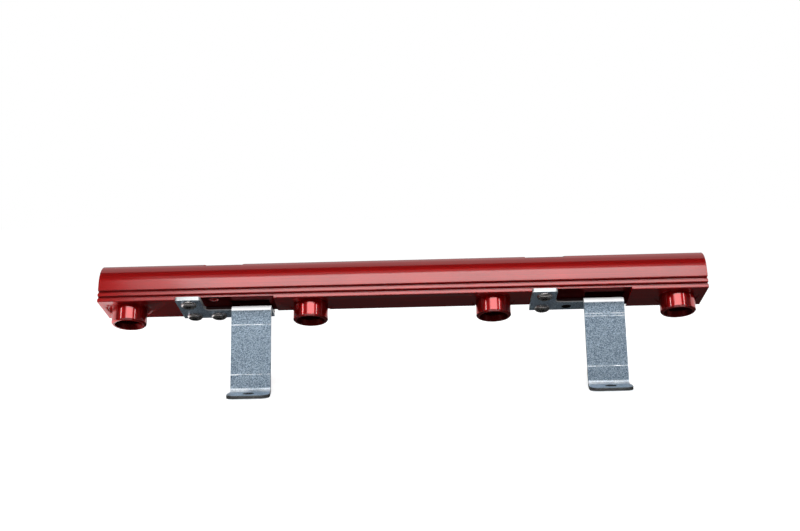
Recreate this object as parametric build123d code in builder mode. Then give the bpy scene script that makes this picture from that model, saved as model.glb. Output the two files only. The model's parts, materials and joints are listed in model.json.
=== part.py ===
"""Fuel rail for one bank of a V engine: extruded rail, injector cups and bent brackets.

The origin is midway between the two foot bolts, on the underside of the feet. +Z points up
the foot bolts, +X along the rail and -Y to the side that the feet reach out to. The rail is
tipped back from the bolts, so its own features are drawn on planes that lean with it.
Millimetres and degrees.
"""

from build123d import *

import os
from math import cos, isclose, radians, sin

os.makedirs("parts", exist_ok=True)

# Layout
injector_pitch = 111.76
injector_count = 4
end_margin = 16.76  # last injector to the end of the rail
foot_spacing = 215.6  # between the two foot bolts
foot_shift = 15.4  # middle of the foot bolts, along from the middle of the rail
rail_tilt = 25.0  # injectors against the foot bolts

# Rail section
rail_width = 30.0
rail_height = 27.5
rib_height = 2.25  # lowest rib, under the first groove
groove_width = 1.4
groove_pitch = 3.55
groove_depth = 1.8
groove_count = 2
rib_round = 0.4
end_break = 0.3

# Fuel passage
fuel_bore = 15.9
fuel_bore_height = 13.0
port_thread = 19.05  # major diameter
port_depth = 9.0
port_chamfer = 1.0

# Seats milled into the rail
spotface = 26.6
spotface_depth = 0.5
recess_depth = 1.5
recess_end_gap = 0.3  # recess wall to the end of the bracket plate
recess_run_out = 3.2  # recess beyond the far side of the leg
relief_width = 7.3  # cut away along the rear corner, between the two brackets
relief_depth = 2.8
cup_land = 24.0  # left standing in the relief around each cup
tapped_hole = 5.0
tapped_depth = 7.0
tapped_hole_rim = 6.0  # across the countersink at its mouth
top_flat_diameter = 24.5
top_flat_depth = 0.6
top_flat_stations = (-109.6, 88.3)  # from the middle of the rail

# Injector cup
cup_diameter = 21.2
cup_projection = 10.0  # below the underside of the rail
cup_rim_chamfer = 0.8
mouth_diameter = 17.1
mouth_taper = 3.0
injector_bore = 13.6
injector_depth = 9.0
feed_hole = 10.0
spigot_diameter = 15.0
spigot_length = 4.0
spigot_clearance = 0.05
spigot_end_gap = 0.2
gland_width = 1.8
gland_depth = 1.25
seal_width = 1.6  # seal squeezed to the depth of its gland
seal_corner = 0.35

# Bracket, bent from one sheet
sheet = 2.3
plate_bend_radius = 1.8  # inside
foot_bend_radius = 2.6  # inside
leg_width = 24.4
leg_length = 53.6  # between the bend corners, at mid-thickness
leg_lean = 17.0  # leg against the foot bolts
leg_offset = 0.3  # upper bend corner in front of the rail's middle plane
foot_hole = 6.8
foot_nose = 7.5  # foot hole to the front edge
foot_reach = 16.8  # front edge to the lower bend corner
foot_width = 25.6
foot_ear_length = 11.2
foot_nose_round = 5.0
foot_ear_round = 1.0
tab_width = 15.2
tab_overhang = 1.2  # past each side of the rail
plate_length = 56.5
strip_front = 2.7  # front edge of the strip, behind the rail's middle plane
plate_round = 1.5
plate_inner_round = 3.0
tab_rear_round = 4.0
strip_end_round = 8.0

# Bracket screws
screw_hole = 6.0
screw_diameter = 5.0
thread_clearance = 0.05
screw_length = 8.0
screw_tip_chamfer = 0.5
head_diameter = 9.5
head_height = 2.75
head_crown = 5.2  # flat on top of the head
head_rim = 0.6
socket_across_flats = 3.0
socket_depth = 1.6
screw_edge_distance = 7.6  # first screw, from the end of the plate
screw_pitch = 15.0
screw_row_spacing = 20.8

# Worked out from the above
rail_length = (injector_count - 1) * injector_pitch + 2 * end_margin
half_width = rail_width / 2
dome_height = rail_height - half_width
plate_underside = recess_depth - sheet
cup_height = cup_projection + spotface_depth
pocket_diameter = spigot_diameter + 2 * spigot_clearance
pocket_depth = spigot_length + spigot_end_gap
recess_length = recess_end_gap + plate_length + recess_run_out
screw_row = screw_row_spacing / 2
tab_reach = half_width + tab_overhang

injector_stations = [(i - (injector_count - 1) / 2) * injector_pitch for i in range(injector_count)]
leg_stations = {
    "left": foot_shift - foot_spacing / 2,
    "right": foot_shift + foot_spacing / 2,
}

# Corners of the bracket's side view: nose, lower bend, upper bend
rail_across = Vector(0, cos(radians(rail_tilt)), -sin(radians(rail_tilt)))
rail_up = Vector(0, sin(radians(rail_tilt)), cos(radians(rail_tilt)))
leg_up = Vector(0, sin(radians(leg_lean)), cos(radians(leg_lean)))
lower_corner = Vector(0, foot_reach - foot_nose, sheet / 2)
upper_corner = lower_corner + leg_up * leg_length

# The rail's own plane: middle of its underside, Z up through the dome
rail_middle = upper_corner + rail_across * leg_offset - rail_up * (recess_depth - sheet / 2)
rail = Plane(
    origin=rail_middle - Vector(foot_shift, 0, 0),
    x_dir=(1, 0, 0),
    z_dir=rail_up,
)


def on_rail(x, y=0.0, z=0.0):
    """A point given along, across and up the rail."""
    return rail.from_local_coords((x, y, z))


def cross_plane(x):
    """Plane square to the rail at x, with its own X across the rail and Y up it."""
    return Plane(origin=on_rail(x), x_dir=rail.y_dir, z_dir=rail.x_dir)


def looking_down(x, y, z):
    """Plane on the underside of the rail at a point, with Z pointing out of the rail."""
    return Plane(origin=on_rail(x, y, z), x_dir=rail.x_dir, z_dir=-rail.z_dir)


def turning_plane(x, y, z):
    """Plane for a turned profile: X is the radius, Y the distance out of the rail."""
    return Plane(origin=on_rail(x, y, z), x_dir=rail.x_dir, z_dir=rail.y_dir)


def plate_start(side):
    """Where a bracket's plate begins, along the rail."""
    return leg_stations[side] + leg_width / 2 - plate_length


def plate_holes(side):
    """Screw holes of a bracket: two through the tab and one through the strip behind it."""
    first = plate_start(side) + screw_edge_distance
    return [(first, -screw_row), (first, screw_row), (first + screw_pitch, screw_row)]


# The left seat is tapped for a fourth screw that its bracket leaves open. The right seat
# is tapped under the tab only, so the hole in the strip of its bracket stays empty.
left_tapped = plate_holes("left") + [
    (plate_start("left") + screw_edge_distance + screw_pitch, -screw_row)
]
right_tapped = plate_holes("right")[:2]
screw_stations = plate_holes("left") + right_tapped


# Rail body: one extruded length, then bored, tapped and milled
with BuildPart() as rail_body:
    with BuildSketch(cross_plane(-rail_length / 2)) as section:
        with BuildLine() as outline:
            Polyline(
                (half_width, dome_height),
                (half_width, 0),
                (-half_width, 0),
                (-half_width, dome_height),
            )
            CenterArc((0, dome_height), half_width, 0, 180)
        make_face()
        groove_heights = [
            rib_height + groove_width / 2 + i * groove_pitch for i in range(groove_count)
        ]
        grooves = [(side * half_width, h) for side in (-1, 1) for h in groove_heights]
        with Locations(*grooves):
            Rectangle(2 * groove_depth, groove_width, mode=Mode.SUBTRACT)
        side_corners = section.vertices().filter_by(lambda v: v.Y < dome_height - rib_round)
        rib_corners = side_corners.filter_by(lambda v: abs(v.X) > half_width - groove_depth / 2)
        fillet(rib_corners, radius=rib_round)
    extrude(amount=rail_length)

    ends = rail_body.faces().filter_by(Axis.X).sort_by(Axis.X)
    chamfer([ends[0].outer_wire().edges(), ends[-1].outer_wire().edges()], length=end_break)

    # Fuel passage and the threaded port at each end
    end_planes = [
        Plane(on_rail(-rail_length / 2, 0, fuel_bore_height), z_dir=-rail.x_dir),
        Plane(on_rail(rail_length / 2, 0, fuel_bore_height), z_dir=rail.x_dir),
    ]
    with Locations(end_planes[1]):
        Hole(radius=fuel_bore / 2, depth=rail_length)
    with Locations(*end_planes):
        Hole(radius=port_thread / 2, depth=port_depth)
    port_rims = (
        rail_body.edges()
        .filter_by(GeomType.CIRCLE)
        .filter_by(lambda rim: isclose(rim.radius, port_thread / 2))
        .sort_by(Axis.X)
    )
    chamfer([port_rims[0], port_rims[-1]], length=port_chamfer)

    # Seats for the cups
    with BuildSketch(rail) as cup_seats:
        with Locations(*[(x, 0) for x in injector_stations]):
            Circle(spotface / 2)
    extrude(amount=spotface_depth, mode=Mode.SUBTRACT)
    with Locations(*[looking_down(x, 0, spotface_depth) for x in injector_stations]):
        CounterBoreHole(
            radius=feed_hole / 2,
            counter_bore_radius=pocket_diameter / 2,
            counter_bore_depth=pocket_depth,
            depth=fuel_bore_height - spotface_depth,
        )

    # Seats for the brackets, milled right across, with their tapped holes
    with BuildSketch(rail) as bracket_seats:
        for side in leg_stations:
            middle = plate_start(side) - recess_end_gap + recess_length / 2
            with Locations((middle, 0)):
                Rectangle(recess_length, 2 * rail_width)
    extrude(amount=recess_depth, mode=Mode.SUBTRACT)
    with Locations(*[looking_down(x, y, recess_depth) for x, y in left_tapped + right_tapped]):
        CounterSinkHole(
            radius=tapped_hole / 2,
            counter_sink_radius=tapped_hole_rim / 2,
            depth=tapped_depth,
            counter_sink_angle=90,
        )

    # Relief along the rear corner, from one bracket to the other, with a land for each cup
    relief_ends = (plate_start("left") + plate_length + recess_end_gap, plate_start("right"))
    with BuildSketch(rail) as relief:
        with Locations((sum(relief_ends) / 2, half_width)):
            Rectangle(relief_ends[1] - relief_ends[0], 2 * relief_width)
        with Locations(*[(x, 0) for x in injector_stations]):
            Circle(cup_land / 2, mode=Mode.SUBTRACT)
    extrude(amount=relief_depth, mode=Mode.SUBTRACT)

    # Shallow flats cut square to the foot bolts, where the tipped dome stands highest
    dome_middle = on_rail(0, 0, dome_height)
    flat_level = dome_middle.Z + half_width - top_flat_depth
    with BuildSketch(Plane.XY.offset(flat_level)) as top_flats:
        with Locations(*[(on_rail(x).X, dome_middle.Y) for x in top_flat_stations]):
            Circle(top_flat_diameter / 2)
    extrude(amount=2 * top_flat_depth, mode=Mode.SUBTRACT)

rail_body.part.label = "rail_body"
export_step(rail_body.part, "parts/rail_body.step")


# Injector cups: turned sockets, each with a spigot into the rail and a face seal
def make_cup(number, x):
    turning = turning_plane(x, 0, spotface_depth)
    axis = Axis(turning.origin, turning.y_dir)
    with BuildPart() as injector_cup:
        with BuildSketch(turning) as wall:
            with BuildLine():
                Polyline(
                    (feed_hole / 2, -spigot_length),
                    (spigot_diameter / 2, -spigot_length),
                    (spigot_diameter / 2, gland_depth),
                    (spigot_diameter / 2 + gland_width, gland_depth),
                    (spigot_diameter / 2 + gland_width, 0),
                    (cup_diameter / 2, 0),
                    (cup_diameter / 2, cup_height - cup_rim_chamfer),
                    (cup_diameter / 2 - cup_rim_chamfer, cup_height),
                    (mouth_diameter / 2, cup_height),
                    (injector_bore / 2, cup_height - mouth_taper),
                    (injector_bore / 2, cup_height - injector_depth),
                    (feed_hole / 2, cup_height - injector_depth),
                    close=True,
                )
            make_face()
        revolve(axis=axis)
    injector_cup.part.label = f"injector_cup_{number}"
    export_step(injector_cup.part, f"parts/injector_cup_{number}.step")


def make_seal(number, x):
    turning = turning_plane(x, 0, spotface_depth)
    axis = Axis(turning.origin, turning.y_dir)
    with BuildPart() as cup_seal:
        with BuildSketch(turning) as seal_section:
            with Locations(((spigot_diameter + gland_width) / 2, gland_depth / 2)):
                Rectangle(seal_width, gland_depth)
            chamfer(seal_section.vertices(), length=seal_corner)
        revolve(axis=axis)
    cup_seal.part.label = f"cup_seal_{number}"
    export_step(cup_seal.part, f"parts/cup_seal_{number}.step")


for number, station in enumerate(injector_stations, start=1):
    make_cup(number, station)
    make_seal(number, station)


# Brackets: one sheet each, with a plate under the rail, a leg and a foot. Both are alike.
def make_bracket(side):
    foot_x = leg_stations[side] - foot_shift
    plate_x = plate_start(side)
    plate_middle = on_rail(0, (strip_front + tab_reach) / 2, recess_depth - sheet / 2)
    with BuildPart() as bracket:
        # Foot, leg and the root of the plate, seen from the side and drawn at mid-thickness
        with BuildSketch(Plane.YZ.offset(foot_x - leg_width / 2)) as side_view:
            with BuildLine() as bent_line:
                FilletPolyline(
                    (0, sheet / 2),
                    (lower_corner.Y, lower_corner.Z),
                    (upper_corner.Y, upper_corner.Z),
                    (plate_middle.Y, plate_middle.Z),
                    radius=[foot_bend_radius + sheet / 2, plate_bend_radius + sheet / 2],
                )
            trace(line_width=sheet)
        extrude(amount=leg_width)

        # Plate: a tab right across the rail and a strip behind the leg
        with BuildSketch(rail.offset(plate_underside)) as plate:
            with Locations((plate_x, 0)):
                Rectangle(tab_width, 2 * tab_reach, align=(Align.MIN, Align.CENTER))
            with Locations((plate_x, tab_reach)):
                Rectangle(plate_length, tab_reach - strip_front, align=(Align.MIN, Align.MAX))
            inner_corner = plate.vertices().sort_by_distance((plate_x + tab_width, strip_front))[0]
            fillet(inner_corner, radius=plate_inner_round)
            front_corners = plate.vertices().filter_by(lambda v: v.Y < -half_width)
            rear_corners = plate.vertices().filter_by(lambda v: v.Y > half_width).sort_by(Axis.X)
            fillet(front_corners, radius=plate_round)
            fillet(rear_corners[0], radius=tab_rear_round)
            fillet(rear_corners[1], radius=strip_end_round)
        extrude(amount=sheet)

        # Foot: wider than the leg, with a rounded nose
        with BuildSketch() as foot:
            with Locations((foot_x, -foot_nose)):
                Rectangle(foot_width, foot_ear_length, align=(Align.CENTER, Align.MIN))
            fillet(foot.vertices().group_by(Axis.Y)[0], radius=foot_nose_round)
            fillet(foot.vertices().group_by(Axis.Y)[-1], radius=foot_ear_round)
        extrude(amount=sheet)
        with Locations(Plane(origin=(foot_x, 0, sheet))):
            Hole(radius=foot_hole / 2, depth=sheet)
        with Locations(*[looking_down(x, y, plate_underside) for x, y in plate_holes(side)]):
            Hole(radius=screw_hole / 2, depth=sheet)
    bracket.part.label = f"bracket_{side}"
    export_step(bracket.part, f"parts/bracket_{side}.step")


for side in leg_stations:
    make_bracket(side)


# Bracket screws: button heads with a hexagon socket
def make_screw(number, x, y):
    turning = turning_plane(x, y, plate_underside)
    shank = screw_diameter / 2 - thread_clearance
    with BuildPart() as bracket_screw:
        with BuildSketch(turning) as half_section:
            with BuildLine():
                Polyline(
                    (0, head_height),
                    (0, -screw_length),
                    (shank - screw_tip_chamfer, -screw_length),
                    (shank, -screw_length + screw_tip_chamfer),
                    (shank, 0),
                    (head_diameter / 2, 0),
                    (head_diameter / 2, head_rim),
                )
                TangentArc(
                    (head_diameter / 2, head_rim),
                    (head_crown / 2, head_height),
                    tangent=(0, 1),
                )
                Line((head_crown / 2, head_height), (0, head_height))
            make_face()
        revolve(axis=Axis(turning.origin, turning.y_dir))
        with BuildSketch(looking_down(x, y, plate_underside - head_height)) as socket:
            RegularPolygon(socket_across_flats / 2, side_count=6, major_radius=False)
        extrude(amount=-socket_depth, mode=Mode.SUBTRACT)
    bracket_screw.part.label = f"bracket_screw_{number}"
    export_step(bracket_screw.part, f"parts/bracket_screw_{number}.step")


for number, (x, y) in enumerate(screw_stations, start=1):
    make_screw(number, x, y)
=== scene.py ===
"""Looks of a fuel rail: red anodised rail and cups, zinc plated brackets, plain steel screws."""

import json
import math

import bmesh
import bpy
from mathutils import Matrix, Vector
from mathutils.bvhtree import BVHTree


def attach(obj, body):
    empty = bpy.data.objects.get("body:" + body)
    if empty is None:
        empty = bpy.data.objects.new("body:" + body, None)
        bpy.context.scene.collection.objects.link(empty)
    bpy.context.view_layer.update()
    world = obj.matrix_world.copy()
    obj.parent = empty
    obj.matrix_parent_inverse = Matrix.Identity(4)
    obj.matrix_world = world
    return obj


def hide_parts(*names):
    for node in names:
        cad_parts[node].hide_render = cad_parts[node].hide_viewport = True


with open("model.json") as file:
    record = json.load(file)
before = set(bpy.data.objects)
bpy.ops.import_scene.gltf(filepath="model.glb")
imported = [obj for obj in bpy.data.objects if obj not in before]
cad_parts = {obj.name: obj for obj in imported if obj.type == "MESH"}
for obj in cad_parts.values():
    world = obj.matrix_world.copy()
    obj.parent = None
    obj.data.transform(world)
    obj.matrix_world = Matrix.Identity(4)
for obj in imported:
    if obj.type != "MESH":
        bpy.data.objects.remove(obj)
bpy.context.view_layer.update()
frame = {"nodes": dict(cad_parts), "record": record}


# Camera. It stands in front of the rail, a little above the floor, and looks slightly down.
# It is turned a little about its own line of sight, so the rail climbs to the right.
camera_place = Vector((0.00314, -0.71144, 0.11606))
camera_pan = math.radians(1.479)
camera_dip = math.radians(3.176)
camera_roll = math.radians(-1.501)
camera_sensor_mm = 36.0
camera_lens_mm = 54.25
camera_near = 0.01

camera_data = bpy.data.cameras.new("camera")
camera_data.sensor_width = camera_sensor_mm
camera_data.lens = camera_lens_mm
camera_data.clip_start = camera_near
camera = bpy.data.objects.new("camera", camera_data)
camera.matrix_world = (
    Matrix.Translation(camera_place)
    @ Matrix.Rotation(camera_pan, 4, "Z")
    @ Matrix.Rotation(math.pi / 2 - camera_dip, 4, "X")
    @ Matrix.Rotation(camera_roll, 4, "Z")
)
bpy.context.scene.collection.objects.link(camera)
bpy.context.scene.camera = camera


# Rail body. One length of aluminium extrusion, bored end to end, milled and tapped, and then
# anodised red. The clear oxide over the dye gives the colour a white gloss of its own, and
# tumbling has taken the sharpness off every edge.
nodes = frame["nodes"]
mounts = {mount["name"]: mount for mount in frame["record"]["mounts"]}
rail_tilt = math.radians(25.0)
rail_up = Vector((0, math.sin(rail_tilt), math.cos(rail_tilt)))
rail_front = Vector((0, -math.cos(rail_tilt), math.sin(rail_tilt)))
rail_points = [vertex.co for vertex in nodes["rail_body"].data.vertices]
underside = min(point.dot(rail_up) for point in rail_points)
rail_face = max(point.dot(rail_front) for point in rail_points)
foot_place = mounts["foot_bolts"]["dims"]["spacing_x_mm"] / 2000
rail_edge_round = 0.00012
sharp_edge = math.radians(30)
flat_joint = math.radians(1.0)
merge_reach = 1e-6
edge_steps = 2
noise_middle = (0.3, 0.7)  # where nearly all of the noise lies
oxide_tint = (0.8, 0.12, 0.12)
oxide_ior = 1.8
oxide_clouds = (30, 80, 80)
mill_marks = (500, 2500, 500)
level_cosine = 0.9999
seat_heights = (0.001, 0.003)  # above the underside
top_flat_level = 0.077  # the flat on the dome is above this
bend_shade_half_width = (0.0115, 0.0140)
bend_shade_depth = (0.002, 0.008)  # behind the front of the rail
bend_shade_colour = (0.020, 0.002, 0.003)
bend_shade_tint = (0.30, 0.05, 0.07)


def new_finish(name):
    """A material with its node tree and its shader."""
    material = bpy.data.materials.new(name)
    material.use_nodes = True
    tree = material.node_tree
    return material, tree, tree.nodes["Principled BSDF"]


def coordinates(tree, tilt, stretch=(1, 1, 1)):
    """Object coordinates that lean back by an angle, stretched along each way."""
    place = tree.nodes.new("ShaderNodeTexCoord")
    lean = tree.nodes.new("ShaderNodeMapping")
    lean.inputs["Rotation"].default_value = (tilt, 0, 0)
    size = tree.nodes.new("ShaderNodeMapping")
    size.inputs["Scale"].default_value = stretch
    tree.links.new(place.outputs["Object"], lean.inputs["Vector"])
    tree.links.new(lean.outputs["Vector"], size.inputs["Vector"])
    return size.outputs["Vector"]


def parts_of(tree, vector):
    """The X, Y and Z of a vector."""
    node = tree.nodes.new("ShaderNodeSeparateXYZ")
    tree.links.new(vector, node.inputs["Vector"])
    return node.outputs


def sum_of(tree, operation, first, second=0.0):
    """One sum on two values, each a socket or a number."""
    node = tree.nodes.new("ShaderNodeMath")
    node.operation = operation
    for socket, value in zip(node.inputs, (first, second)):
        if isinstance(value, (int, float)):
            socket.default_value = value
        else:
            tree.links.new(value, socket)
    return node.outputs[0]


def spread(tree, value, start, end, low, high):
    """Map a value from start..end to low..high, and hold it there."""
    node = tree.nodes.new("ShaderNodeMapRange")
    node.inputs["From Min"].default_value = start
    node.inputs["From Max"].default_value = end
    node.inputs["To Min"].default_value = low
    node.inputs["To Max"].default_value = high
    tree.links.new(value, node.inputs["Value"])
    return node.outputs["Result"]


def noise(tree, vector, scale, low=0.0, high=1.0, detail=3.0):
    """Noise spread between two values."""
    grain = tree.nodes.new("ShaderNodeTexNoise")
    grain.inputs["Scale"].default_value = scale
    grain.inputs["Detail"].default_value = detail
    tree.links.new(vector, grain.inputs["Vector"])
    return spread(tree, grain.outputs["Fac"], *noise_middle, low, high)


def mix_colours(tree, factor, first, second):
    """Two colours, each a socket or three numbers, mixed by a factor."""
    node = tree.nodes.new("ShaderNodeMix")
    node.data_type = "RGBA"
    tree.links.new(factor, node.inputs["Factor"])
    colour_sockets = [socket for socket in node.inputs if socket.type == "RGBA"]
    for socket, colour in zip(colour_sockets, (first, second)):
        if isinstance(colour, tuple):
            socket.default_value = (*colour, 1)
        else:
            tree.links.new(colour, socket)
    return next(socket for socket in node.outputs if socket.type == "RGBA")


def add_relief(tree, shader, height, distance):
    """Raise the surface where the height is high."""
    relief = tree.nodes.new("ShaderNodeBump")
    relief.inputs["Distance"].default_value = distance
    tree.links.new(height, relief.inputs["Height"])
    tree.links.new(relief.outputs["Normal"], shader.inputs["Normal"])
    tree.links.new(relief.outputs["Normal"], shader.inputs["Coat Normal"])


def red_oxide(name, stretch, dark, light, smooth, rough, gloss, coat_roughness, relief):
    """Dyed metal under the hard clear layer that anodising grows over it."""
    material, tree, shader = new_finish(name)
    shader.inputs["Metallic"].default_value = 1.0
    shader.inputs["Specular Tint"].default_value = (*oxide_tint, 1)
    shader.inputs["Coat Weight"].default_value = gloss
    shader.inputs["Coat IOR"].default_value = oxide_ior
    shader.inputs["Coat Roughness"].default_value = coat_roughness
    marks = noise(tree, coordinates(tree, rail_tilt, stretch), 1.0, detail=4.0)
    clouds = noise(tree, coordinates(tree, rail_tilt, oxide_clouds), 1.0)
    tree.links.new(mix_colours(tree, marks, dark, light), shader.inputs["Base Color"])
    tree.links.new(spread(tree, clouds, 0.0, 1.0, smooth, rough), shader.inputs["Roughness"])
    add_relief(tree, shader, marks, relief)
    return material


def shade_over_bends(material):
    """Darken an oxide above the bends, where the sheet comes close and keeps the light out."""
    tree = material.node_tree
    inputs = tree.nodes["Principled BSDF"].inputs
    place = parts_of(tree, coordinates(tree, rail_tilt))
    from_middle = sum_of(tree, "ABSOLUTE", place["X"])
    from_leg = sum_of(tree, "ABSOLUTE", sum_of(tree, "SUBTRACT", from_middle, foot_place))
    over_leg = spread(tree, from_leg, *bend_shade_half_width, 1.0, 0.0)
    behind_face = sum_of(tree, "ADD", place["Y"], rail_face)
    deep = spread(tree, behind_face, *bend_shade_depth, 0.0, 1.0)
    shaded = sum_of(tree, "MULTIPLY", over_leg, deep)
    colour = inputs["Base Color"].links[0].from_socket
    colour = mix_colours(tree, shaded, colour, bend_shade_colour)
    tree.links.new(colour, inputs["Base Color"])
    tint = mix_colours(tree, shaded, oxide_tint, bend_shade_tint)
    tree.links.new(tint, inputs["Specular Tint"])
    gloss = spread(tree, shaded, 0.0, 1.0, inputs["Coat Weight"].default_value, 0.0)
    tree.links.new(gloss, inputs["Coat Weight"])


def rounded_copy(name, node_name, materials, edge_round, sharp_angle):
    """A copy of a CAD node with its flats made whole and its edges rounded over."""
    mesh = nodes[node_name].data.copy()
    shape = bmesh.new()
    shape.from_mesh(mesh)
    bmesh.ops.remove_doubles(shape, verts=shape.verts, dist=merge_reach)
    bmesh.ops.dissolve_limit(
        shape, angle_limit=flat_joint, verts=shape.verts, edges=shape.edges
    )
    shape.to_mesh(mesh)
    shape.free()
    mesh.shade_smooth()
    mesh.set_sharp_from_angle(angle=sharp_angle)
    mesh.materials.clear()
    for material in materials:
        mesh.materials.append(material)
    copy = bpy.data.objects.new(name, mesh)
    bpy.context.scene.collection.objects.link(copy)
    rounding = copy.modifiers.new("edge_round", "BEVEL")
    rounding.width = edge_round
    rounding.segments = edge_steps
    rounding.limit_method = "ANGLE"
    rounding.angle_limit = sharp_angle
    rounding.harden_normals = True
    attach(copy, "root")
    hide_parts(node_name)
    return copy


extrusion_red = red_oxide(
    "red_anodised_extrusion", stretch=(4, 1400, 1400),
    dark=(0.56, 0.006, 0.006), light=(0.70, 0.010, 0.010), smooth=0.52, rough=0.62,
    gloss=1.0, coat_roughness=0.11, relief=0.000003,
)
# The same oxide made much darker for the recess seats and the cup bores: painted shade in the
# hollows.
recess_shade_red = red_oxide(
    "red_anodised_recess_shade", stretch=mill_marks,
    dark=(0.11, 0.001, 0.001), light=(0.18, 0.002, 0.002), smooth=0.40, rough=0.50,
    gloss=0.1, coat_roughness=0.20, relief=0.000004,
)
shade_over_bends(recess_shade_red)
flat_red = red_oxide(
    "red_anodised_flat", stretch=mill_marks,
    dark=(0.30, 0.003, 0.003), light=(0.40, 0.005, 0.005), smooth=0.35, rough=0.45,
    gloss=0.6, coat_roughness=0.12, relief=0.000003,
)
rail_finishes = [extrusion_red, recess_shade_red, flat_red]
rail = rounded_copy("rail", "rail_body", rail_finishes, rail_edge_round, sharp_edge)
for face in rail.data.polygons:
    height = face.center.dot(rail_up) - underside
    if face.normal.dot(rail_up) < -level_cosine and seat_heights[0] < height < seat_heights[1]:
        # Painted shade: the recess seats take the darker oxide.
        face.material_index = rail_finishes.index(recess_shade_red)
    elif face.normal.z > level_cosine and face.center.z > top_flat_level:
        face.material_index = rail_finishes.index(flat_red)


# Threads. Each end port has a 3/4 inch thread of 16 turns to the inch, and the spare screw
# hole a 5 mm thread of 0.8 mm. They are cut before anodising, so they are red as well.
port_pitch = 0.0254 / 16
screw_pitch = 0.0008
thread_sink = 0.00002  # foot of the ridge, into the wall
thread_depth = 0.6134  # this and the next two are shares of the pitch
thread_root_width = 0.95
thread_crest_width = 0.125
steps_per_turn = 48


def thread_nodes():
    """Nodes for one helical ridge that stands in from the wall of a hole about Z."""
    tree = bpy.data.node_groups.new("thread_ridge", "GeometryNodeTree")
    tree.interface.new_socket("Geometry", in_out="INPUT", socket_type="NodeSocketGeometry")
    for name in ("Radius", "Pitch", "Length"):
        tree.interface.new_socket(name, in_out="INPUT", socket_type="NodeSocketFloat")
    tree.interface.new_socket("Material", in_out="INPUT", socket_type="NodeSocketMaterial")
    tree.interface.new_socket("Geometry", in_out="OUTPUT", socket_type="NodeSocketGeometry")
    sizes = tree.nodes.new("NodeGroupInput").outputs
    pitch = sizes["Pitch"]

    helix = tree.nodes.new("GeometryNodeCurveSpiral")
    helix.inputs["Resolution"].default_value = steps_per_turn
    rise = sum_of(tree, "SUBTRACT", sizes["Length"], pitch)
    tree.links.new(sum_of(tree, "DIVIDE", rise, pitch), helix.inputs["Rotations"])
    tree.links.new(sizes["Radius"], helix.inputs["Start Radius"])
    tree.links.new(sizes["Radius"], helix.inputs["End Radius"])
    tree.links.new(rise, helix.inputs["Height"])
    upright = tree.nodes.new("GeometryNodeSetCurveNormal")
    upright.mode = "Z_UP"
    tree.links.new(helix.outputs["Curve"], upright.inputs["Curve"])

    section = tree.nodes.new("GeometryNodeCurvePrimitiveQuadrilateral")
    section.mode = "TRAPEZOID"
    depth = sum_of(tree, "MULTIPLY", pitch, thread_depth)
    root_width = sum_of(tree, "MULTIPLY", pitch, thread_root_width)
    crest_width = sum_of(tree, "MULTIPLY", pitch, thread_crest_width)
    tree.links.new(root_width, section.inputs["Bottom Width"])
    tree.links.new(crest_width, section.inputs["Top Width"])
    tree.links.new(depth, section.inputs["Height"])
    section.inputs["Offset"].default_value = 0.0
    inward = tree.nodes.new("ShaderNodeCombineXYZ")
    tree.links.new(sum_of(tree, "MULTIPLY", depth, 0.5), inward.inputs["X"])
    turned = tree.nodes.new("GeometryNodeTransform")
    turned.inputs["Rotation"].default_value = (0, 0, -math.pi / 2)
    tree.links.new(section.outputs["Curve"], turned.inputs["Geometry"])
    tree.links.new(inward.outputs["Vector"], turned.inputs["Translation"])

    ridge = tree.nodes.new("GeometryNodeCurveToMesh")
    ridge.inputs["Fill Caps"].default_value = True
    tree.links.new(upright.outputs["Curve"], ridge.inputs["Curve"])
    tree.links.new(turned.outputs["Geometry"], ridge.inputs["Profile Curve"])
    real = tree.nodes.new("GeometryNodeRealizeInstances")
    finish = tree.nodes.new("GeometryNodeSetMaterial")
    tree.links.new(ridge.outputs["Mesh"], real.inputs["Geometry"])
    tree.links.new(real.outputs["Geometry"], finish.inputs["Geometry"])
    tree.links.new(sizes["Material"], finish.inputs["Material"])
    result = tree.nodes.new("NodeGroupOutput")
    tree.links.new(finish.outputs["Geometry"], result.inputs["Geometry"])
    return tree


def grown_mesh(name, tree, values):
    """Run a node tree once with named inputs and keep what it makes as a plain mesh."""
    seed_mesh = bpy.data.meshes.new(f"{name}_seed")
    grower = bpy.data.objects.new(f"{name}_seed", seed_mesh)
    bpy.context.scene.collection.objects.link(grower)
    growth = grower.modifiers.new("growth", "NODES")
    growth.node_group = tree
    for socket in tree.interface.items_tree:
        if socket.in_out == "INPUT" and socket.name in values:
            growth[socket.identifier] = values[socket.name]
    seen = grower.evaluated_get(bpy.context.evaluated_depsgraph_get())
    mesh = bpy.data.meshes.new_from_object(seen)
    mesh.name = name
    bpy.data.objects.remove(grower)
    return mesh


def cut_thread(name, mount, pitch):
    """A red thread ridge along the threaded length that a mount names."""
    length = mount["dims"]["length_mm"] / 1000
    radius = mount["dims"]["r_mm"] / 1000 + thread_sink
    outward = Vector(mount["axis"]).normalized()
    start = Vector(mount["pos_m"]) - outward * (length - pitch) / 2
    values = {"Radius": radius, "Pitch": pitch, "Length": length, "Material": extrusion_red}
    mesh = grown_mesh(name, ridge_tree, values)
    facing = outward.to_track_quat("Z", "Y").to_matrix().to_4x4()
    mesh.transform(Matrix.Translation(start) @ facing)
    mesh.shade_smooth()
    mesh.set_sharp_from_angle(angle=sharp_edge)
    thread = bpy.data.objects.new(name, mesh)
    bpy.context.scene.collection.objects.link(thread)
    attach(thread, "root")


ridge_tree = thread_nodes()
cut_thread("port_thread_left", mounts["port_left"], port_pitch)
cut_thread("port_thread_right", mounts["port_right"], port_pitch)
cut_thread("spare_hole_thread", mounts["spare_screw_hole"], screw_pitch)


# Injector cups. Turned from aluminium bar, polished and anodised red like the rail, then
# pressed into its underside. The injectors plug into their mouths.
cup_edge_round = 0.0002
end_face_cosine = -0.95
bore_wall_cosine = -0.3


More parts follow.
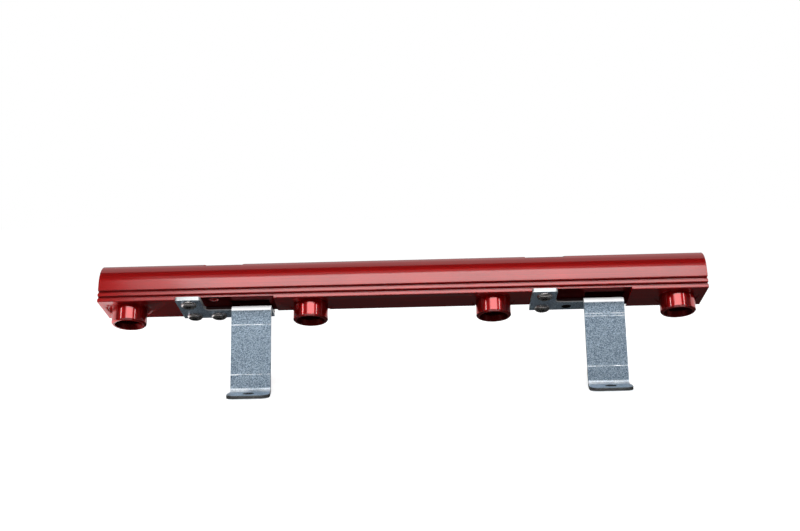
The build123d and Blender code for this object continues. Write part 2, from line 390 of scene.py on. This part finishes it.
def off_axis(point, middle):
    """How a point lies off the line through the middle, square to the rail's underside."""
    offset = point - middle
    return offset - rail_up * offset.dot(rail_up)


turned_red = red_oxide(
    "red_anodised_turning", stretch=(30, 30, 5000),
    dark=(0.48, 0.003, 0.004), light=(0.60, 0.005, 0.006), smooth=0.30, rough=0.40,
    gloss=1.0, coat_roughness=0.03, relief=0.000002,
)
cup_finishes = [turned_red, recess_shade_red, extrusion_red]
for name in list(nodes):
    if name.startswith("injector_cup"):
        number = name.split("_")[-1]
        cup = rounded_copy(f"cup_{number}", name, cup_finishes, cup_edge_round, sharp_edge)
        mouth = Vector(mounts[f"injector_socket_{number}"]["pos_m"])
        for face in cup.data.polygons:
            outward = off_axis(face.center, mouth).normalized()
            if face.normal.dot(rail_up) < end_face_cosine:
                face.material_index = cup_finishes.index(extrusion_red)
            elif face.normal.dot(outward) < bore_wall_cosine:
                # Painted shade: the bore walls take the darker oxide.
                face.material_index = cup_finishes.index(recess_shade_red)


# Cup seals. Moulded rings of black rubber. Each is squeezed between a cup and the rail, keeps
# the fuel in, and is out of sight once the cup is pressed home.
def grained_finish(name, metal, specular, grain_scale, dark, light, smooth, rough):
    """An even finish whose colour and gloss follow one fine grain."""
    material, tree, shader = new_finish(name)
    shader.inputs["Metallic"].default_value = metal
    shader.inputs["Specular IOR Level"].default_value = specular
    grain = noise(tree, coordinates(tree, rail_tilt), grain_scale)
    tree.links.new(mix_colours(tree, grain, dark, light), shader.inputs["Base Color"])
    tree.links.new(spread(tree, grain, 0.0, 1.0, smooth, rough), shader.inputs["Roughness"])
    return material


rubber = grained_finish(
    "seal_rubber", metal=0.0, specular=0.4, grain_scale=900,
    dark=(0.012, 0.012, 0.013), light=(0.024, 0.024, 0.025), smooth=0.5, rough=0.65,
)
for name in nodes:
    if name.startswith("cup_seal"):
        nodes[name].data.materials.clear()
        nodes[name].data.materials.append(rubber)


# Brackets. Each is one zinc plated steel sheet, blanked and bent into a foot, a leg and a
# plate under the rail. The zinc shows a fine spangle. The blade rounds the cut edges, and the
# bending die leaves lines across the leg.
sheet_thickness = 0.0023
sheet_edge_round = 0.0004
sheet_sharp_edge = math.radians(50)
foot_top = 0.004
leg_lean = math.radians(17.0)
leg_length = 0.0536
leg_half_width = 0.0124
bend_back = 0.027  # the leg's upper bend ends in front of this
bolt_to_corner = 0.0093  # foot bolt to the lower bend corner, at mid-thickness
upright_corner = Vector((0, bolt_to_corner, sheet_thickness / 2))
lower_corner = Matrix.Rotation(leg_lean, 3, "X") @ upright_corner

crystal_scale = 2500
zinc_grain = 3000
zinc_contrast = (0.5, 1.5)  # over the sum of crystal and grain
zinc_dark = (0.08, 0.13, 0.19)
zinc_light = (0.52, 0.64, 0.76)
zinc_metal = 0.85
zinc_cloud = 700
zinc_roughness = (0.28, 0.42)
zinc_relief = 0.00001
# Painted highlight at both bends, near white and not metal, in patches at the foot; the die lines
# use the same grey.
highlight_and_burnish_grey = (0.97, 0.98, 0.99)
bend_highlight_reach = (0.0026, 0.0034)
highlight_patches = (120, 20, 20)
highlight_kept = (0.15, 0.6)
die_lines = ((-1, 0.0111), (-1, 0.0418), (1, 0.0115), (1, 0.0422), (1, 0.0438))
die_line_half_width = 0.00016
die_line_breaks = 220
die_line_kept = (0.1, 0.85)


def near_bend(tree, place, height):
    """One on the sheet round a bend, at a height up the leg, where a highlight is painted."""
    from_middle = sum_of(tree, "ABSOLUTE", place["X"])
    from_foot = sum_of(tree, "ABSOLUTE", sum_of(tree, "SUBTRACT", from_middle, foot_place))
    beside = sum_of(tree, "GREATER_THAN", from_foot, leg_half_width)
    from_leg = sum_of(tree, "SUBTRACT", place["Y"], lower_corner.y)
    from_corner = sum_of(tree, "SUBTRACT", place["Z"], lower_corner.z + height)
    squares = [sum_of(tree, "MULTIPLY", side, side) for side in (from_leg, from_corner)]
    distance = sum_of(tree, "SQRT", sum_of(tree, "ADD", *squares))
    return spread(tree, sum_of(tree, "ADD", distance, beside), *bend_highlight_reach, 1.0, 0.0)


def die_line(tree, vector, side, height):
    """Over nought on the broken line that the die pressed across one leg, at a height up it."""
    place = parts_of(tree, vector)
    off = sum_of(tree, "ABSOLUTE", sum_of(tree, "SUBTRACT", place["Z"], lower_corner.z + height))
    line = spread(tree, off, die_line_half_width, 2 * die_line_half_width, 1.0, 0.0)
    here = sum_of(tree, "GREATER_THAN", sum_of(tree, "MULTIPLY", place["X"], side), 0.0)
    pressed = sum_of(tree, "MULTIPLY", line, here)
    breaks = noise(tree, vector, die_line_breaks, *die_line_kept)
    return sum_of(tree, "MULTIPLY", pressed, breaks)


def spangled_zinc():
    """Zinc crystals, each a grey of its own, painted highlights at the bends, burnished die lines.
    """
    material, tree, shader = new_finish("spangled_zinc")
    plain = coordinates(tree, rail_tilt)
    crystals = tree.nodes.new("ShaderNodeTexVoronoi")
    crystals.inputs["Scale"].default_value = crystal_scale
    tree.links.new(plain, crystals.inputs["Vector"])
    crystal_grey = tree.nodes.new("ShaderNodeSeparateColor")
    tree.links.new(crystals.outputs["Color"], crystal_grey.inputs["Color"])
    both = sum_of(tree, "ADD", crystal_grey.outputs["Red"], noise(tree, plain, zinc_grain))
    shade = spread(tree, both, *zinc_contrast, 0.0, 1.0)
    colour = mix_colours(tree, shade, zinc_dark, zinc_light)
    up_leg = coordinates(tree, leg_lean)
    leg_place = parts_of(tree, up_leg)
    patches = noise(tree, coordinates(tree, 0.0, highlight_patches), 1.0, *highlight_kept)
    # Painted highlight along the upper bend, and in patches along the foot's bend.
    upper_bend_highlight = near_bend(tree, leg_place, leg_length)
    lower_bend_highlight = sum_of(tree, "MULTIPLY", near_bend(tree, leg_place, 0.0), patches)
    highlight_and_wear = sum_of(tree, "MAXIMUM", upper_bend_highlight, lower_bend_highlight)
    for side, height in die_lines:
        highlight_and_wear = sum_of(tree, "MAXIMUM", highlight_and_wear, die_line(tree, up_leg, side, height))
    zinc_highlight_and_burnish = mix_colours(tree, highlight_and_wear, colour, highlight_and_burnish_grey)
    tree.links.new(zinc_highlight_and_burnish, shader.inputs["Base Color"])
    tree.links.new(spread(tree, highlight_and_wear, 0.0, 1.0, zinc_metal, 0.0), shader.inputs["Metallic"])
    rough = noise(tree, plain, zinc_cloud, *zinc_roughness)
    tree.links.new(sum_of(tree, "MAXIMUM", rough, highlight_and_wear), shader.inputs["Roughness"])
    add_relief(tree, shader, shade, zinc_relief)
    return material


cut_streaks = (2500, 300, 300)
cut_dark = (0.72, 0.76, 0.78)
cut_light = (0.80, 0.83, 0.84)
cut_fade = (foot_top, 0.02)  # heights over which the cut edge turns duller
cut_roughness = (0.22, 0.40)
cut_metal = (1.0, 0.85)
strip_setback = 0.0177  # from the rail's front to the front of the plate's narrow strip
strip_edge_reach = (0.0010, 0.0015)
# Painted shade on the strip's front edge where it runs up into the rail's recess: its heights and
# colour.
strip_shade_zone = (-0.0003, -0.0001)  # from the underside of the rail
strip_shade_colour = (0.040, 0.020, 0.022)


def sheared_zinc():
    """The cut edge of the sheet, wiped smooth by the blade, with painted shade up the strip's
    front.
    """
    material, tree, shader = new_finish("sheared_zinc")
    streaks = noise(tree, coordinates(tree, rail_tilt, cut_streaks), 1.0)
    wiped = mix_colours(tree, streaks, cut_dark, cut_light)
    on_rail = parts_of(tree, coordinates(tree, rail_tilt))
    behind = sum_of(tree, "ADD", on_rail["Y"], rail_face - strip_setback)
    on_strip = spread(tree, sum_of(tree, "ABSOLUTE", behind), *strip_edge_reach, 1.0, 0.0)
    inside = sum_of(tree, "SUBTRACT", on_rail["Z"], underside)
    # Painted shade where the strip's front edge sits in the recess.
    strip_recess_shade = sum_of(tree, "MULTIPLY", on_strip, spread(tree, inside, *strip_shade_zone, 0.0, 1.0))
    tree.links.new(mix_colours(tree, strip_recess_shade, wiped, strip_shade_colour), shader.inputs["Base Color"])
    height = parts_of(tree, coordinates(tree, 0.0))["Z"]
    tree.links.new(spread(tree, height, *cut_fade, *cut_roughness), shader.inputs["Roughness"])
    tree.links.new(spread(tree, height, *cut_fade, *cut_metal), shader.inputs["Metallic"])
    return material


edge_face_cosine = 0.05
side_face_cosine = 0.3
widest_hole = 0.010
widest_facet = 0.000004  # square metres
ray_lift = 0.0005

zinc = spangled_zinc()
cut_zinc = sheared_zinc()
# Dark steel put into the bracket hole walls and the screw sockets as painted shade.
shade_steel = grained_finish(
    "painted_shade_steel", metal=1.0, specular=0.5, grain_scale=2000,
    dark=(0.05, 0.05, 0.05), light=(0.12, 0.12, 0.12), smooth=0.45, rough=0.6,
)
bracket_finishes = [zinc, cut_zinc, shade_steel]
for side in ("left", "right"):
    bracket = rounded_copy(
        f"{side}_bracket", f"bracket_{side}", bracket_finishes,
        sheet_edge_round, sheet_sharp_edge,
    )
    points = [vertex.co for vertex in bracket.data.vertices]
    outlines = [face.vertices[:] for face in bracket.data.polygons]
    sheet_walls = BVHTree.FromPolygons(points, outlines)
    for face in bracket.data.polygons:
        from_foot = abs(abs(face.center.x) - foot_place)
        on_plate = from_foot > leg_half_width or face.center.y > bend_back
        plate_edge = on_plate and abs(face.normal.dot(rail_up)) < edge_face_cosine
        foot_edge = face.center.z < foot_top and abs(face.normal.z) < edge_face_cosine
        start = face.center + face.normal * ray_lift
        faced = sheet_walls.ray_cast(start, face.normal, widest_hole)[0] is not None
        # Small walls that face another wall of the sheet close by, the hole walls, take the
        # painted shade.
        if faced and face.area < widest_facet and face.center.z > foot_top:
            face.material_index = bracket_finishes.index(shade_steel)
        elif plate_edge or foot_edge or abs(face.normal.x) > side_face_cosine:
            face.material_index = bracket_finishes.index(cut_zinc)


# Bracket screws. Stainless button heads with a hexagon socket, three on the left bracket and
# two on the right, turned and left plain.
screw_edge_round = 0.0001
socket_heights = (0.0001, 0.0018)  # above the top of the head, which points down
socket_radius = 0.002

steel = grained_finish(
    "turned_steel", metal=1.0, specular=0.5, grain_scale=1500,
    dark=(0.52, 0.49, 0.48), light=(0.76, 0.72, 0.70), smooth=0.2, rough=0.32,
)
screw_finishes = [steel, shade_steel]
for name in list(nodes):
    if name.startswith("bracket_screw"):
        number = name.split("_")[-1]
        screw = rounded_copy(f"screw_{number}", name, screw_finishes, screw_edge_round, sharp_edge)
        head_top = min(vertex.co.dot(rail_up) for vertex in screw.data.vertices)
        corners = [Vector(corner) for corner in screw.bound_box]
        middle = sum(corners, Vector()) / len(corners)
        for face in screw.data.polygons:
            height = face.center.dot(rail_up) - head_top
            within = off_axis(face.center, middle).length < socket_radius
            # The socket's faces take the painted shade.
            if socket_heights[0] < height < socket_heights[1] and within:
                face.material_index = screw_finishes.index(shade_steel)


# Floor and room. A white floor in a plain white room. The floor adds to its own light towards
# the camera and the gloss, so that it meets the room without a seam and keeps its shadows.
floor_half = 6.0
floor_drop = 0.0002
floor_white = (0.93, 0.93, 0.93)
floor_glow = 0.30
room_shade = 0.78


def flat_card(name, corners, material):
    """A four-cornered sheet that isn't part of the rail."""
    mesh = bpy.data.meshes.new(name)
    mesh.from_pydata(corners, [], [(0, 1, 2, 3)])
    mesh.materials.append(material)
    card = bpy.data.objects.new(name, mesh)
    bpy.context.scene.collection.objects.link(card)
    return card


def level_corners(x_range, y_range, height):
    """Corners of a level oblong, in order round it."""
    return [(x_range[i], y_range[j], height) for i, j in ((0, 0), (1, 0), (1, 1), (0, 1))]


def seen_rays(tree):
    """One for camera, gloss and transmission rays, nought for the rest."""
    rays = tree.nodes.new("ShaderNodeLightPath").outputs
    mirrored = sum_of(tree, "MAXIMUM", rays["Is Camera Ray"], rays["Is Glossy Ray"])
    return sum_of(tree, "MAXIMUM", mirrored, rays["Is Transmission Ray"])


floor_paint, floor_tree, floor_shader = new_finish("floor_paint")
floor_shader.inputs["Base Color"].default_value = (*floor_white, 1)
floor_shader.inputs["Roughness"].default_value = 0.9
floor_shader.inputs["Specular IOR Level"].default_value = 0.0
floor_shader.inputs["Emission Color"].default_value = (1, 1, 1, 1)
own_light = sum_of(floor_tree, "MULTIPLY", seen_rays(floor_tree), floor_glow)
floor_tree.links.new(own_light, floor_shader.inputs["Emission Strength"])
floor_range = (-floor_half, floor_half)
flat_card("floor", level_corners(floor_range, floor_range, -floor_drop), floor_paint)

world = bpy.data.worlds.new("room")
world.use_nodes = True
bpy.context.scene.world = world
room = world.node_tree
backdrop = room.nodes["Background"]
backdrop.inputs["Color"].default_value = (1, 1, 1, 1)
glow = spread(room, seen_rays(room), 0.0, 1.0, room_shade, 1.0)
room.links.new(glow, backdrop.inputs["Strength"])


# Lamps. A soft box in front and above with a wider, weaker one round it, a strip to each side
# that draws a thin line of light down every cup, and a low fill for the zinc legs, which the
# gloss doesn't show.
light_centre = Vector((-0.015, 0.02, 0.06))
lamp_watts = 4  # for each square metre of a lamp, to look as bright as a card of glow one


def lamp(name, azimuth, elevation, distance, width, height, radiance, mirrored=True):
    """A rectangular lamp that faces the rail: azimuth from the front, both angles in degrees."""
    across = math.radians(azimuth)
    rise = math.radians(elevation)
    way = Vector(
        (math.sin(across) * math.cos(rise), -math.cos(across) * math.cos(rise), math.sin(rise))
    )
    data = bpy.data.lights.new(name, "AREA")
    data.shape = "RECTANGLE"
    data.size = width
    data.size_y = height
    data.energy = radiance * lamp_watts * width * height
    holder = bpy.data.objects.new(name, data)
    holder.visible_glossy = mirrored
    facing = way.to_track_quat("Z", "Y").to_matrix().to_4x4()
    holder.matrix_world = Matrix.Translation(light_centre + way * distance) @ facing
    bpy.context.scene.collection.objects.link(holder)


lamp(
    "soft_box", azimuth=3, elevation=50.5,
    distance=1.0, width=0.76, height=0.34, radiance=1.5,
)
lamp(
    "soft_box_spill", azimuth=1.5, elevation=50.5,
    distance=1.0, width=0.88, height=0.34, radiance=0.85,
)
lamp(
    "left_strip", azimuth=-61, elevation=34,
    distance=1.0, width=0.07, height=0.35, radiance=5.8,
)
lamp(
    "right_strip", azimuth=51, elevation=37,
    distance=1.0, width=0.07, height=0.35, radiance=4.5,
)
lamp(
    "low_fill", azimuth=0, elevation=18,
    distance=1.2, width=0.8, height=0.2, radiance=16.0, mirrored=False,
)


# Booth. Cards that show only in the gloss: a front wall that fades to the right, dark side
# walls, a dark roof with a grey opening in front and light behind, and a floor that is dark
# but for one bright strip, which the undersides and the bends mirror.
wall_front = -1.6
wall_side = 1.3
wall_back = 0.1
low_wall_top = 0.8
middle_wall_top = 1.3
wall_top = 2.6
far_side = 2.5
roof_height = 1.0
roof_leans = (-31, -15, 13)  # degrees from upright to each edge, forwards below nought
roof_edges = [roof_height * math.tan(math.radians(lean)) for lean in roof_leans]
roof_opening = (-0.42, 0.46)
card_lift = 0.0003
strip_side = 0.3
bright_strip = (-0.045, -0.026)
front_floor_end = -0.046
floor_behind_x = (-0.205, 0.6)
floor_behind_y = (0.0, 0.5)
unlit = 0.04


def mirror_card(name, corners, glow):
    """A card that only gloss sees, as bright as it is told or faded from left to right."""
    paint = bpy.data.materials.new(name)
    paint.use_nodes = True
    tree = paint.node_tree
    tree.nodes.clear()
    emission = tree.nodes.new("ShaderNodeEmission")
    if isinstance(glow, tuple):
        place = parts_of(tree, coordinates(tree, 0.0))
        faded = spread(tree, place["X"], corners[0][0], corners[1][0], *glow)
        tree.links.new(faded, emission.inputs["Strength"])
    else:
        emission.inputs["Strength"].default_value = glow
    output = tree.nodes.new("ShaderNodeOutputMaterial")
    tree.links.new(emission.outputs["Emission"], output.inputs["Surface"])
    card = flat_card(name, corners, paint)
    card.visible_camera = False
    card.visible_diffuse = False
    card.visible_transmission = False
    card.visible_shadow = False


def upright_card(name, start, end, low, high, glow):
    """A wall from one point of the floor to another, between two heights."""
    corners = [(*start, low), (*end, low), (*end, high), (*start, high)]
    mirror_card(name, corners, glow)


def level_card(name, x_range, y_range, height, glow):
    """A card that lies level."""
    mirror_card(name, level_corners(x_range, y_range, height), glow)


booth_sides = (-wall_side, wall_side)
front_ends = [(side, wall_front) for side in booth_sides]
upright_card("front_wall_low", *front_ends, 0.0, low_wall_top, glow=(0.22, 0.0))
upright_card("front_wall_middle", *front_ends, low_wall_top, middle_wall_top, glow=(1.0, 0.1))
upright_card("front_wall_top", *front_ends, middle_wall_top, wall_top, glow=0.08)
for name, side in zip(("left_wall", "right_wall"), booth_sides):
    upright_card(name, (side, wall_front), (side, wall_back), 0.0, wall_top, glow=0.08)
back_ends = ((-far_side, far_side), (far_side, far_side))
upright_card("back_wall", *back_ends, 0.0, roof_height, glow=0.35)

opening_left, opening_right = roof_opening
level_card("roof_front", roof_opening, roof_edges[:2], roof_height, glow=0.4)
level_card("roof_front_left", (-wall_side, opening_left), roof_edges[:2], roof_height, unlit)
level_card("roof_front_right", (opening_right, wall_side), roof_edges[:2], roof_height, unlit)
level_card("roof", booth_sides, roof_edges[1:], roof_height, unlit)
roof_behind_y = (roof_edges[2], far_side)
level_card("roof_behind", (-far_side, far_side), roof_behind_y, roof_height, glow=0.55)

strip_x = (-strip_side, strip_side)
level_card("floor_front", booth_sides, (wall_front, front_floor_end), card_lift, unlit)
level_card("floor_bright", strip_x, bright_strip, card_lift, glow=0.9)
level_card("floor_near", strip_x, (bright_strip[1], 0.0), card_lift, unlit)
level_card("floor_behind", floor_behind_x, floor_behind_y, card_lift, glow=0.035)


bpy.context.scene.view_settings.view_transform = "Standard"
